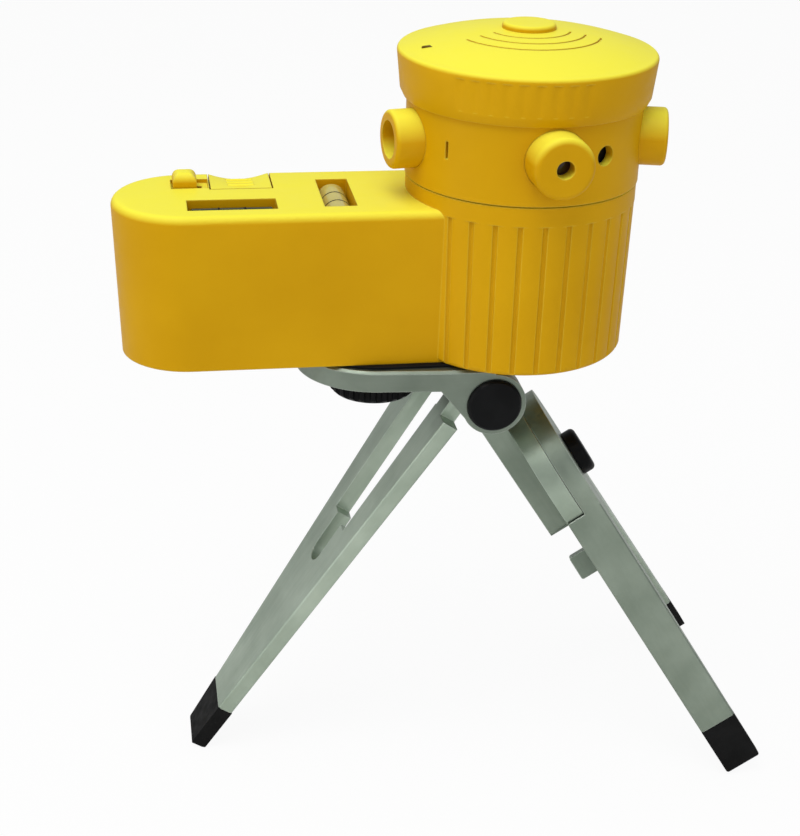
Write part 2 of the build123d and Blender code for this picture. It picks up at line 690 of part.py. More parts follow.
def laser_cradle():
    """Block on the bearing's bridge with a round trough for the laser."""
    half_w, half_l = CRADLE_W / 2, CRADLE_L / 2
    turn = Location((0, 0, 0), (0, 0, NOZZLE_ANGLES[0]))
    body = block(-half_w, half_w, -half_l, half_l, BASE_H, BEAM_Z - 1.0)
    body -= bar_y(LASER_R + SEAT_FIT, -half_l - 1, half_l + 1, 0, BEAM_Z)
    return turn * body


def laser_clamp():
    half_w, half_l = CRADLE_W / 2, 3.0
    turn = Location((0, 0, 0), (0, 0, NOZZLE_ANGLES[0]))
    strap = bar_y(LASER_R + 0.8, -half_l, half_l, 0, BEAM_Z) - bar_y(
        LASER_R + SEAT_FIT, -half_l - 1, half_l + 1, 0, BEAM_Z
    )
    strap &= block(-half_w, half_w, -half_l, half_l, BEAM_Z - 1.0, BEAM_Z + LASER_R + 1)
    return turn * strap


def detent_ball():
    return Location((DETENT_RING, 0, FLANGE_Z0 - 0.08 - DETENT_R)) * Sphere(DETENT_R)


def detent_spring():
    """Leaf that presses the detent ball up from below the roof."""
    z = FLANGE_Z0 - 0.08 - 2 * DETENT_R
    leaf = block(DETENT_RING - 8, DETENT_RING + 0.8, -1.0, 1.0, z - 0.35, z)
    post_x = DETENT_RING - 7.4
    return leaf + block(post_x - 0.6, post_x + 0.6, -1.0, 1.0, z - 0.35, BASE_H - WALL)


# ---- tripod ----------------------------------------------------------------------------


def head_plate():
    """Flat head with a half-round end, and two ears that carry the hinge pin."""
    end = HINGE_X - 1.0
    gusset = HINGE_X - GUSSET
    half = [(INSERT_X, PLATE_HALF_W), (gusset, HINGE_HALF_W), (end, HINGE_HALF_W)]
    outline = half + [(x, -y) for x, y in reversed(half)]
    flat = make_face(Polyline(*outline, close=True))
    flat += Location((INSERT_X, 0)) * Circle(PLATE_HALF_W)
    thick = PLATE_TOP - PLATE_BOTTOM
    plate = extrude(Location((0, 0, PLATE_BOTTOM)) * flat, thick)
    plate = chamfer(plate.faces().sort_by(Axis.Z)[-1].edges(), PLATE_EDGE)
    ear_in = LEG_KNUCKLE_OUT + SIDE_GAP
    plate -= bar_y(KNUCKLE_R + 0.4, -ear_in, ear_in, HINGE_X, HINGE_Z)
    plate -= block(HINGE_X - KNUCKLE_R + 0.6, 0, -ear_in, ear_in, PLATE_BOTTOM - 1, 0)
    low = PLATE_BOTTOM - HINGE_Z + 0.1
    for side in (-1, 1):
        ear = bar_y(KNUCKLE_R, ear_in, HINGE_HALF_W, HINGE_X, HINGE_Z)
        reach = KNUCKLE_R * 0.9
        top = PLATE_TOP - HINGE_Z - PLATE_EDGE
        web = [(-GUSSET, low), (-reach, -KNUCKLE_R * GUSSET_FOOT), (0, 0), (0, top), (-GUSSET, top)]
        face = make_face(Polyline(*[(HINGE_X + x, 0, HINGE_Z + z) for x, z in web], close=True))
        face = Location((0, HINGE_HALF_W, 0)) * face
        ear += extrude(face, HINGE_HALF_W - ear_in, dir=(0, -1, 0))
        ear -= bar_y(HINGE_PIN_R + SEAT_FIT, 0, REACH, HINGE_X, HINGE_Z)
        plate += ear if side > 0 else mirror(ear, Plane.XZ)
    seat = bar_y(HINGE_CAP_R + SEAT_FIT, HINGE_HALF_W - 0.6, REACH, HINGE_X, HINGE_Z)
    plate = plate - seat - mirror(seat, Plane.XZ)
    plate -= rod(CAMERA_THREAD_R + SCREW_CLEAR, PLATE_BOTTOM - 1, 0, INSERT_X)
    return plate


def rubber_pad():
    end = HINGE_X - KNUCKLE_R - 1
    inset = PLATE_HALF_W - PAD_INSET
    flat = Location(((INSERT_X + end) / 2, 0)) * Rectangle(end - INSERT_X, 2 * inset)
    flat += Location((INSERT_X, 0)) * Circle(inset)
    pad = extrude(Location((0, 0, PLATE_TOP)) * flat, -PLATE_TOP)
    return pad - rod(CAMERA_THREAD_R + SCREW_CLEAR, -1, 1, INSERT_X)


def thumb_wheel():
    body = rod(WHEEL_R, WHEEL_BOTTOM, WHEEL_TOP, INSERT_X)
    body = chamfer(body.edges().filter_by(GeomType.CIRCLE), 0.7)
    for i in range(WHEEL_FLUTES):
        a = 2 * pi * i / WHEEL_FLUTES
        x, y = WHEEL_R * cos(a), WHEEL_R * sin(a)
        body -= rod(WHEEL_FLUTE_R, WHEEL_BOTTOM - 1, WHEEL_TOP + 1, INSERT_X + x, y)
    return body - rod(CAMERA_THREAD_R, WHEEL_BOTTOM + 1.5, WHEEL_TOP + 1, INSERT_X)


def camera_screw():
    """Quarter-inch screw moulded into the wheel."""
    top = INSERT_H - 0.8
    body = rod(CAMERA_THREAD_R, WHEEL_BOTTOM + 1.5, top, INSERT_X)
    body = chamfer(body.edges().group_by(Axis.Z)[-1], 0.5)
    pitch = 1.27
    z = PLATE_TOP + pitch
    while z < top - pitch:
        body -= tube(CAMERA_THREAD_R + 1, CAMERA_THREAD_R - 0.4, z, z + pitch / 2, INSERT_X)
        z += pitch
    return body


def hinge_pin():
    end = HINGE_HALF_W - 0.6
    return bar_y(HINGE_PIN_R, -end, end, HINGE_X, HINGE_Z)


def hinge_caps():
    made = []
    for side in (-1, 1):
        inner, outer = HINGE_HALF_W - 0.6, HINGE_HALF_W + HINGE_CAP_T
        disc = bar_y(HINGE_CAP_R, inner, outer, HINGE_X, HINGE_Z)
        disc = chamfer(disc.edges().group_by(Axis.Y)[-1], 0.4)
        made.append(disc if side > 0 else mirror(disc, Plane.XZ))
    return made


def leg_bracket():
    """Flat bar that hangs from the hinge's centre eye and carries the leg pair's pivot."""
    outer = PAIR_IN - FACE_GAP
    inner = outer - BRACKET_T
    half = BRACKET_HALF_W
    points = [(0, -half), (BRACKET_END, -half), (BRACKET_END, half), (0, half)]
    bar = slab(points, inner, outer)
    ends = bar.edges().filter_by(Axis.Z).group_by(Axis.X)[-1]
    bar = fillet(ends, 1.6)
    eye_half = CENTRE_KNUCKLE_HALF
    bar += bar_y(KNUCKLE_R - 0.1, -eye_half, eye_half, 0, 0)
    bar -= bar_y(HINGE_PIN_R + PIN_FIT, -REACH, REACH, 0, 0)
    bar -= rod(PIVOT_R + SEAT_FIT, -REACH, REACH, PIVOT_AT)
    bar -= rod(PIVOT_R + 1.4 + SEAT_FIT, inner - 1, inner + 1.0, PIVOT_AT)
    return PAIR.location * bar


def pivot_pin():
    """Rivet through the bracket and both lapped legs."""
    inner = PAIR_IN - FACE_GAP - BRACKET_T
    body = rod(PIVOT_R, inner, PAIR_OUT + FACE_GAP) + rod(PIVOT_R + 1.4, inner, inner + 1.0)
    return PIVOT.location * body


def pivot_cap():
    low = PAIR_OUT + FACE_GAP
    body = rod(PIVOT_CAP_R, low, low + PIVOT_CAP_T)
    body = fillet(body.edges().group_by(Axis.Z)[-1], 1.0)
    return PIVOT.location * body


def foot_cut(solid):
    """A foot with its lowest corner worn flat where it stands."""
    return solid - block(-REACH, REACH, -REACH, REACH, GROUND_Z - REACH, GROUND_Z)


def broad_slot():
    """Opening in the broad leg: room for the bracket, then a narrow catch for the pegs."""
    start = -KNUCKLE_R - 1
    wide = [(start, -SLOT_HALF_TOP), (SLOT_END, -SLOT_HALF_END), (SLOT_END, SLOT_HALF_END),
            (start, SLOT_HALF_TOP)]
    opening = slab(wide, 0, REACH) + slab(wide, -REACH, 0.5)
    opening += block(SLOT_END - 1, CATCH_END - CATCH_HALF, -CATCH_HALF, CATCH_HALF, -REACH, REACH)
    return opening + rod(CATCH_HALF, -REACH, REACH, CATCH_END - CATCH_HALF)


def broad_blade(start, end, inset=0.0, skin=0.0):
    low, high = leg_half_width(start) - inset, leg_half_width(end) - inset
    points = [(start, -low), (end, -high), (end, high), (start, low)]
    return slab(points, BROAD_IN + skin, BROAD_OUT - skin)


def broad_leg():
    blade = broad_blade(BROAD_START, BROAD_LEN)
    long_edges = [e for e in blade.edges() if e.length > BROAD_LEN / 2]
    blade = fillet(long_edges, LEG_ROUND)
    inner = CENTRE_KNUCKLE_HALF + SIDE_GAP
    for side in (-1, 1):
        edge = sorted((side * inner, side * LEG_KNUCKLE_OUT))
        blade += bar_y(KNUCKLE_R - 0.1, *edge, 0, 0)
        blade += block(0, BROAD_START + 1, *edge, BROAD_IN, BROAD_OUT)
    blade -= bar_y(HINGE_PIN_R + PIN_FIT, -REACH, REACH, 0, 0)
    blade -= broad_slot()
    blade += broad_blade(BROAD_LEN - 0.5, BROAD_LEN + SPIGOT_L, SPIGOT_WALL, SPIGOT_WALL)
    return BROAD.location * blade


def broad_foot():
    foot = broad_blade(BROAD_LEN, BROAD_END)
    ends = foot.edges().group_by(Axis.X)[-1]
    foot = fillet(ends, FOOT_ROUND)
    foot -= broad_blade(BROAD_LEN - 1, BROAD_LEN + SPIGOT_L, SPIGOT_WALL, SPIGOT_WALL)
    return foot_cut(BROAD.location * foot)


def pair_blade(start, end, inset=0.0, skin=0.0):
    """One leg's bar on the +Y side of the closing line."""
    clear = FACE_GAP + inset
    low, high = pair_half_width(start) - inset, pair_half_width(end) - inset
    points = [(start, clear), (end, clear), (end, high), (start, low)]
    return slab(points, PAIR_IN + skin, PAIR_OUT - skin)


def pair_place(side):
    """Where a leg of the pair lies: swung about the pivot to its side, +1 for the far leg."""
    turn = Location((0, 0, 0), (0, 0, side * SPREAD))
    return PIVOT.location * turn


def pair_leg(side):
    """One lapped leg: its round lap takes one half of the thickness, the other leg's the rest."""
    gap = FACE_GAP / 2
    mine, other = ((PAIR_IN, LAP_MID - gap), (LAP_MID + gap, PAIR_OUT))
    if side < 0:
        mine, other = other, mine
    blade = pair_blade(0, PAIR_LEN)
    far_end = [e for e in blade.edges() if e.length > PAIR_LEN / 2]
    blade = fillet(far_end, LEG_ROUND)
    other_low, other_high = other[0] - gap * 2, other[1] + gap * 2
    blade -= rod(LAP_R + LAP_GAP, max(other_low, PAIR_IN - 1), other_high)
    blade += rod(LAP_R, *mine)
    clear = (mine[1], PAIR_OUT + 1) if side > 0 else (PAIR_IN - 1, mine[0])
    blade -= rod(LAP_R + LAP_GAP, *clear)
    blade -= rod(PIVOT_R + PIN_FIT, -REACH, REACH)
    if side < 0:
        start, end, width, height = CATCH_PEG
        peg = block(start, end, FACE_GAP, FACE_GAP + width, PAIR_IN - height, PAIR_IN + 0.5)
        blade += fillet(peg.edges().filter_by(Axis.Y), LEG_ROUND)
    blade += pair_blade(PAIR_LEN - 0.5, PAIR_LEN + SPIGOT_L, SPIGOT_WALL, SPIGOT_WALL)
    if side < 0:
        blade = mirror(blade, Plane.XZ)
    return pair_place(side) * blade


def pair_foot(side):
    foot = pair_blade(PAIR_LEN, PAIR_FOOT_END)
    foot = fillet(foot.edges().group_by(Axis.X)[-1], FOOT_ROUND)
    foot -= pair_blade(PAIR_LEN - 1, PAIR_LEN + SPIGOT_L, SPIGOT_WALL, SPIGOT_WALL)
    if side < 0:
        foot = mirror(foot, Plane.XZ)
    return foot_cut(pair_place(side) * foot)


# ---- the whole object ------------------------------------------------------------------


def all_nodes():
    nodes = {
        "base_housing": base_housing(),
        "bottom_cover": bottom_cover(),
        "cover_screws": cover_screws(),
        "thread_insert": thread_insert(),
        "battery_tray": battery_tray(),
        "battery_cells": cells(),
        "battery_contacts": battery_contacts(),
        "battery_cover": battery_cover(),
        "circuit_board": circuit_board(),
        "slide_switch": slide_switch(),
        "switch_knob": switch_knob(),
        "long_vial": vial(VIAL_LONG, 0),
        "cross_vial": vial(VIAL_CROSS, 90),
        "laser_module": laser_module(),
        "laser_lens": laser_lens(),
        "laser_board": laser_board(),
        "laser_cradle": laser_cradle(),
        "laser_clamp": laser_clamp(),
        "detent_ball": detent_ball(),
        "detent_spring": detent_spring(),
        "retaining_ring": retaining_ring(),
        "ring_screws": ring_screws(),
        "turret": turret(),
        "cap": cap(),
        "centre_plug": centre_plug(),
        "head_plate": head_plate(),
        "rubber_pad": rubber_pad(),
        "thumb_wheel": thumb_wheel(),
        "camera_screw": camera_screw(),
        "hinge_pin": hinge_pin(),
        "hinge_caps": hinge_caps(),
        "leg_bracket": leg_bracket(),
        "pivot_pin": pivot_pin(),
        "pivot_cap": pivot_cap(),
        "broad_leg": broad_leg(),
        "broad_foot": broad_foot(),
        "near_leg": pair_leg(-1),
        "near_foot": pair_foot(-1),
        "far_leg": pair_leg(1),
        "far_foot": pair_foot(1),
    }
    names = ("dot", "horizontal", "cross", "vertical")
    for index, name in enumerate(names):
        nodes[f"{name}_nozzle"] = nozzle(index)
        nodes[f"{name}_lens"] = lens(index)
    return nodes


def solids_of(shape):
    """The separate solids of a shape, or of a list of shapes."""
    if isinstance(shape, (list, tuple)):
        return [solid for piece in shape for solid in solids_of(piece)]
    return list(shape.solids())


def main():
    os.makedirs("parts", exist_ok=True)
    nodes = {name: Compound(children=solids_of(shape)) for name, shape in all_nodes().items()}
    boxes = [shape.bounding_box() for shape in nodes.values()]
    low_x, high_x = min(b.min.X for b in boxes), max(b.max.X for b in boxes)
    low_y, high_y = min(b.min.Y for b in boxes), max(b.max.Y for b in boxes)
    shift = Location((-(low_x + high_x) / 2, -(low_y + high_y) / 2, -GROUND_Z))
    for name, shape in nodes.items():
        export_step(shift * shape, f"parts/{name}.step")


main()
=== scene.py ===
import json
from math import cos, pi, radians, sin

import bmesh
import bpy
from mathutils import Matrix, Vector

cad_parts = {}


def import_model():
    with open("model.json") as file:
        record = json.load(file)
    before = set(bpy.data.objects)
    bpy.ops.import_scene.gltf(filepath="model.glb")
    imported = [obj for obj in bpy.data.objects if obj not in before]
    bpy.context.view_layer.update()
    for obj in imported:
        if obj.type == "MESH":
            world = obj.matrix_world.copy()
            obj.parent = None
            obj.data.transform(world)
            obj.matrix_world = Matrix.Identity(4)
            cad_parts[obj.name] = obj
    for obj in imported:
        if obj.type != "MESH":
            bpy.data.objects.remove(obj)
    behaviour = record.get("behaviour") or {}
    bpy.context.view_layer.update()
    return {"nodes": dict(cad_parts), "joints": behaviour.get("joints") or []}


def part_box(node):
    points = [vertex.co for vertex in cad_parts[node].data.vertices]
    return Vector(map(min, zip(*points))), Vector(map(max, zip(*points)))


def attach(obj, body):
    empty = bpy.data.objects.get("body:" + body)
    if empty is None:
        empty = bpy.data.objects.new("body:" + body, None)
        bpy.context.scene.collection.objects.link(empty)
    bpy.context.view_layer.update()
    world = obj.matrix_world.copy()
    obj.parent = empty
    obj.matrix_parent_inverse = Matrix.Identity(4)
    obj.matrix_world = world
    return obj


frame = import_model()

# ---- places, in metres, from the frame ---------------------------------------------------

MM = 0.001
NODES = frame["nodes"]
JOINTS = {joint["name"]: joint for joint in frame["joints"]}


def middle(node):
    """Centre of a CAD node's box."""
    low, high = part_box(node)
    return (Vector(low) + Vector(high)) / 2


HEAD = middle("turret")
HINGE = Vector(JOINTS["plate_tilt"]["pos_m"])
PIVOT = Vector(JOINTS["near_leg_spread"]["pos_m"])
PIVOT_AXIS = Vector(JOINTS["near_leg_spread"]["axis"])
PAIR_DIR = (PIVOT - HINGE).normalized()
BROAD_REACH = middle("broad_foot") - HINGE
BROAD_DIR = Vector((BROAD_REACH.x, 0, BROAD_REACH.z)).normalized()
PAIR_SPREAD = radians(JOINTS["near_leg_spread"]["range_deg"][1])
UNDERSIDE = HINGE.z + 7.8 * MM  # of the leveller, above the hinge pin

# ---- camera ------------------------------------------------------------------------------

CAMERA_FROM_HEAD = Vector((-72.72, -297.18, 126.09)) * MM  # from the axis, at the underside
CAMERA_YAW, CAMERA_PITCH, CAMERA_ROLL = radians(9.74), radians(25.46), radians(1.71)
CAMERA_LENS = 75.05
CAMERA_SENSOR = 36.0

# ---- small pieces ------------------------------------------------------------------------

GAUGE_OFFSET, GAUGE_HALF_W = 2.4 * MM, 0.17 * MM  # a vial's line, from its middle
GAUGE_PROUD, GAUGE_SUNK = 0.03 * MM, 0.05 * MM
BUBBLE_LONG, BUBBLE_TALL = 1.9 * MM, 1.0 * MM
BUBBLE_RISE = 0.52  # share of the vial's radius
BUBBLE_RINGS = 12
# A black sleeve as painted shade inside the hollow turret.
SHADE_SLEEVE_OUTER, SHADE_SLEEVE_INNER = 19.82 * MM, 19.6 * MM
SHADE_SLEEVE_UP, SHADE_SLEEVE_DOWN = 4.9 * MM, 0.2 * MM  # inside the turret's lower and upper ends
POINTER_PLACE = Vector((-19.2, -3.5, -4.05)) * MM  # from the head's axis and the plug's top
POINTER_OUTLINE = [(-1.2, 0.0), (0.8, 0.95), (0.8, -0.95)]
POINTER_H, POINTER_TOP = 0.45 * MM, 0.82  # half height, and the top's share of the outline
POINTER_TIP = 1.35  # share of the half height where its edge is worn

# ---- colours -----------------------------------------------------------------------------

# The shell's yellow in painted shade for the walls, and in painted light for the top faces.
YELLOW_SHADED_SIDE = (0.62, 0.325, 0.001, 1)
YELLOW_SHADED_SIDE_PALE = (0.66, 0.355, 0.002, 1)
YELLOW_LIT_TOP = (0.92, 0.84, 0.06, 1)
# Painted highlights for the rounded edges of the shell and of the cast metal.
YELLOW_EDGE_HIGHLIGHT = (0.88, 0.76, 0.10, 1)
ALUMINIUM = (0.27, 0.325, 0.26)
ALUMINIUM_PALE = (0.39, 0.455, 0.375)
ALUMINIUM_EDGE_HIGHLIGHT = (0.64, 0.70, 0.62)
BLACK = (0.004, 0.0042, 0.0045, 1)
RUBBER = (0.005, 0.005, 0.005, 1)
STEEL = (0.56, 0.56, 0.55, 1)
BRASS = (0.70, 0.50, 0.20, 1)
# Painted shade: the vials' pale liquid made dark for the long vial.
SHADED_VIAL_LIQUID = (0.05, 0.06, 0.01, 1)
PALE_LIQUID = (0.90, 0.80, 0.22, 1)
LENS_GLASS = (0.80, 0.88, 0.90, 1)
DARK_GLASS = (0.03, 0.01, 0.01, 1)
BOARD_GREEN = (0.02, 0.16, 0.06, 1)
CELL_JACKET = (0.05, 0.05, 0.06, 1)
POINTER_INK = (0.09, 0.05, 0.004, 1)
FLOOR_WHITE = (0.85, 0.85, 0.84, 1)
FLOOR_GLOW = 0.93  # share of the floor seen by the camera as plain white
ROOM_LIGHT = (0.96, 0.98, 1.0, 1)
ROOM_STRENGTH = 0.45


# ---- material helpers --------------------------------------------------------------------


class Graph:
    """A node material under construction."""

    def __init__(self, name):
        self.material = bpy.data.materials.new(name)
        self.material.use_nodes = True
        self.tree = self.material.node_tree
        self.shader = self.tree.nodes["Principled BSDF"]
        self.coords = self.tree.nodes.new("ShaderNodeTexCoord").outputs["Object"]

    def node(self, kind, **settings):
        made = self.tree.nodes.new(kind)
        for key, value in settings.items():
            setattr(made, key, value)
        return made

    def link(self, source, target):
        self.tree.links.new(source, target)

    def noise(self, scale, detail=3.0, coords=None):
        made = self.node("ShaderNodeTexNoise")
        made.inputs["Scale"].default_value = scale
        made.inputs["Detail"].default_value = detail
        self.link(coords or self.coords, made.inputs["Vector"])
        return made.outputs["Fac"]

    def ramp(self, value, low, high, to_low=0.0, to_high=1.0):
        made = self.node("ShaderNodeMapRange")
        for name, number in (
            ("From Min", low),
            ("From Max", high),
            ("To Min", to_low),
            ("To Max", to_high),
        ):
            made.inputs[name].default_value = number
        self.link(value, made.inputs["Value"])
        return made.outputs["Result"]

    def mix(self, factor, first, second):
        """Colour between two; each is a colour or a socket."""
        made = self.node("ShaderNodeMix", data_type="RGBA")
        self.link(factor, made.inputs[0])
        for socket, value in ((made.inputs[6], first), (made.inputs[7], second)):
            if hasattr(value, "is_linked"):
                self.link(value, socket)
            else:
                socket.default_value = value
        return made.outputs[2]

    def edge(self, radius):
        """Rounded normal, and a mask that is 1 on rounded edges, where a painted highlight goes."""
        bevel = self.node("ShaderNodeBevel", samples=6)
        bevel.inputs["Radius"].default_value = radius
        flat = self.node("ShaderNodeNewGeometry").outputs["Normal"]
        dot = self.node("ShaderNodeVectorMath", operation="DOT_PRODUCT")
        self.link(bevel.outputs["Normal"], dot.inputs[0])
        self.link(flat, dot.inputs[1])
        return bevel.outputs["Normal"], self.ramp(dot.outputs["Value"], 0.995, 0.90)

    def bump(self, height, distance, strength, normal=None):
        made = self.node("ShaderNodeBump")
        made.inputs["Distance"].default_value = distance
        made.inputs["Strength"].default_value = strength
        self.link(height, made.inputs["Height"])
        if normal:
            self.link(normal, made.inputs["Normal"])
        self.link(made.outputs["Normal"], self.shader.inputs["Normal"])

    def upwards(self):
        """How far the surface faces up, from -1 to 1."""
        normal = self.node("ShaderNodeTexCoord").outputs["Normal"]
        split = self.node("ShaderNodeSeparateXYZ")
        self.link(normal, split.inputs[0])
        return split.outputs["Z"]

    def set(self, **values):
        for key, value in values.items():
            self.shader.inputs[key.replace("_", " ")].default_value = value


def yellow_plastic():
    """Moulded shell with painted light: lemon where it faces up, painted shade in ochre on the
    walls, fine moulded grain.
    """
    g = Graph("yellow_plastic")
    normal, edge_highlight_mask = g.edge(0.35 * MM)
    cloud = g.noise(45, 4)
    side = g.mix(g.ramp(cloud, 0.35, 0.65), YELLOW_SHADED_SIDE, YELLOW_SHADED_SIDE_PALE)
    # Painted light: paler where the surface faces up, painted shade on the walls.
    body = g.mix(g.ramp(g.upwards(), 0.1, 0.9), side, YELLOW_LIT_TOP)
    # Painted highlight along the rounded edges.
    edge = g.mix(g.ramp(edge_highlight_mask, 0.0, 1.0, 0.0, 0.35), body, YELLOW_EDGE_HIGHLIGHT)
    g.link(edge, g.shader.inputs["Base Color"])
    g.link(g.ramp(g.noise(300), 0.3, 0.7, 0.36, 0.46), g.shader.inputs["Roughness"])
    g.set(Specular_IOR_Level=0.08)
    g.bump(g.noise(2600, 2), 0.02 * MM, 0.35, normal)
    return g.material


def shade(colour, share):
    """A colour made darker or paler by a share of itself."""
    return tuple(min(1.0, channel * share) for channel in colour[:3]) + (1,)


def aluminium(name, direction, painted_light_share):
    """Die-cast metal, satin, with fine drawn lines along the piece."""
    g = Graph(name)
    normal, edge_highlight_mask = g.edge(0.3 * MM)
    turned = g.node("ShaderNodeMapping", vector_type="TEXTURE")
    turned.inputs["Rotation"].default_value = direction.to_track_quat("X", "Z").to_euler()
    g.link(g.coords, turned.inputs["Vector"])
    stretched = g.node("ShaderNodeMapping")
    stretched.inputs["Scale"].default_value = (60, 1500, 1500)
    g.link(turned.outputs["Vector"], stretched.inputs["Vector"])
    lines = g.noise(1.0, 3, stretched.outputs["Vector"])
    cloud = g.noise(70, 4)
    # Each copy is darker or paler by its share: painted shade or painted light for how light falls
    # on that piece.
    body = g.mix(g.ramp(cloud, 0.35, 0.7), shade(ALUMINIUM, painted_light_share), shade(ALUMINIUM_PALE, painted_light_share))
    # Painted highlight along the rounded edges.
    edge = g.mix(g.ramp(edge_highlight_mask, 0.0, 1.0, 0.0, 0.55), body, shade(ALUMINIUM_EDGE_HIGHLIGHT, 1))
    g.link(edge, g.shader.inputs["Base Color"])
    g.link(g.ramp(lines, 0.3, 0.7, 0.34, 0.48), g.shader.inputs["Roughness"])
    g.set(Metallic=0.92)
    g.bump(lines, 0.012 * MM, 0.35, normal)
    return g.material


def dark(name, colour, low, high, grain, depth, metallic=0.0):
    """Black rubber, black plastic and other plain moulded or plated stock."""
    g = Graph(name)
    normal, edge_highlight_mask = g.edge(0.25 * MM)
    cloud = g.ramp(g.noise(160, 4), 0.35, 0.7)
    paler = tuple(min(1.0, c * 1.5 + 0.002) for c in colour[:3]) + (1,)
    body = g.mix(cloud, colour, paler)
    # Painted highlight along the rounded edges.
    edge = g.mix(g.ramp(edge_highlight_mask, 0.0, 1.0, 0.0, 0.5), body, tuple(c * 2 for c in paler[:3]) + (1,))
    g.link(edge, g.shader.inputs["Base Color"])
    g.link(g.ramp(g.noise(500), 0.3, 0.7, low, high), g.shader.inputs["Roughness"])
    g.set(Metallic=metallic, Specular_IOR_Level=0.5 if metallic else 0.08)
    g.bump(g.noise(grain, 2), depth * MM, 0.4, normal)
    return g.material


def glass(name, colour, roughness, weight):
    g = Graph(name)
    tint = g.mix(g.ramp(g.noise(120), 0.3, 0.7), colour, tuple(c * 0.9 for c in colour[:3]) + (1,))
    g.link(tint, g.shader.inputs["Base Color"])
    g.link(g.ramp(g.noise(400), 0.3, 0.7, roughness, roughness * 1.5), g.shader.inputs["Roughness"])
    g.set(Transmission_Weight=weight, IOR=1.45)
    return g.material


# ---- CAD nodes: shading and materials ----------------------------------------------------


def smooth(obj, angle=28):
    """Smooth shading that breaks at the piece's real edges."""
    for face in obj.data.polygons:
        face.use_smooth = True
    weld = obj.modifiers.new("weld", "WELD")
    weld.merge_threshold = 0.002 * MM
    split = obj.modifiers.new("edges", "EDGE_SPLIT")
    split.split_angle = radians(angle)
    split.use_edge_sharp = False


def give(material, *names):
    for name in names:
        mesh = NODES[name].data
        mesh.materials.clear()
        mesh.materials.append(material)


def finish_nodes():
    yellow = yellow_plastic()
    black = dark("black_plastic", BLACK, 0.30, 0.42, 1800, 0.02)
    rubber = dark("black_rubber", RUBBER, 0.55, 0.75, 1400, 0.05)
    steel = dark("plated_steel", STEEL, 0.22, 0.36, 900, 0.01, 1.0)
    brass = dark("turned_brass", BRASS, 0.25, 0.38, 900, 0.01, 1.0)
    nozzles = [name for name in NODES if name.endswith("_nozzle")]
    give(yellow, "base_housing", "bottom_cover", "battery_cover", "switch_knob", "turret", "cap")
    give(yellow, "centre_plug", *nozzles)
    spread = {}
    for side in (-1, 1):
        spread[side] = Matrix.Rotation(side * PAIR_SPREAD, 3, PIVOT_AXIS) @ PAIR_DIR
    # Copies of one cast metal: the plate darker as painted shade under the leveller, the broad and
    # far legs paler as painted light.
    give(aluminium("cast_plate", Vector((1, 0, 0)), 0.62), "head_plate")
    give(aluminium("cast_bracket", PAIR_DIR, 0.8), "leg_bracket")
    give(aluminium("cast_broad_leg", BROAD_DIR, 1.25), "broad_leg")
    give(aluminium("cast_near_leg", spread[-1], 0.85), "near_leg")
    give(aluminium("cast_far_leg", spread[1], 1.25), "far_leg")
    give(rubber, "rubber_pad", "broad_foot", "near_foot", "far_foot")
    give(black, "thumb_wheel", "hinge_caps", "pivot_cap", "battery_tray", "laser_cradle")
    give(black, "slide_switch")
    give(steel, "cover_screws", "battery_contacts", "camera_screw", "hinge_pin", "pivot_pin")
    give(steel, "detent_ball", "detent_spring", "retaining_ring", "ring_screws", "laser_clamp")
    give(brass, "thread_insert", "laser_module")
    give(glass("lens_glass", LENS_GLASS, 0.03, 0.9), "horizontal_lens", "cross_lens")
    give(glass("dark_lens", DARK_GLASS, 0.08, 0.3), "dot_lens", "laser_lens", "vertical_lens")
    # The long vial's liquid is the pale liquid in painted shade, dark where its window lies in
    # shadow.
    give(glass("shaded_vial", SHADED_VIAL_LIQUID, 0.06, 0.5), "long_vial")
    give(glass("pale_vial", PALE_LIQUID, 0.06, 0.35), "cross_vial")
    give(dark("board_green", BOARD_GREEN, 0.3, 0.45, 700, 0.02), "circuit_board", "laser_board")
    give(dark("cell_jacket", CELL_JACKET, 0.3, 0.4, 700, 0.01), "battery_cells")
    for obj in NODES.values():
        smooth(obj)


# ---- small visible pieces that the CAD leaves out ----------------------------------------


def piece(name, build, material, body):
    """A new mesh object that rides on a CAD body."""
    mesh = bpy.data.meshes.new(name)
    bm = bmesh.new()
    build(bm)
    bmesh.ops.recalc_face_normals(bm, faces=bm.faces)
    bm.to_mesh(mesh)
    bm.free()
    obj = bpy.data.objects.new(name, mesh)
    bpy.context.scene.collection.objects.link(obj)
    mesh.materials.append(material)
    smooth(obj)
    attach(obj, body)
    return obj


def turned(bm, profile, place, steps=48):
    """Revolves (radius, height) points about a place's Z axis into a closed skin."""
    rings = []
    for radius, height in profile:
        ring = []
        for i in range(steps):
            a = 2 * pi * i / steps
            ring.append(bm.verts.new(place @ Vector((radius * cos(a), radius * sin(a), height))))
        rings.append(ring)
    for low, high in zip(rings, rings[1:]):
        for i in range(steps):
            j = (i + 1) % steps
            bm.faces.new((low[i], low[j], high[j], high[i]))
    return rings


def band(bm, outer, inner, low, high, place):
    """A closed ring of rectangular section."""
    rings = turned(bm, [(inner, low), (outer, low), (outer, high), (inner, high)], place)
    first, last = rings[0], rings[-1]
    for i in range(len(first)):
        j = (i + 1) % len(first)
        bm.faces.new((last[i], last[j], first[j], first[i]))


def along(direction, centre):
    """Place whose Z axis runs along a direction."""
    return Matrix.Translation(centre) @ direction.to_track_quat("Z", "Y").to_matrix().to_4x4()


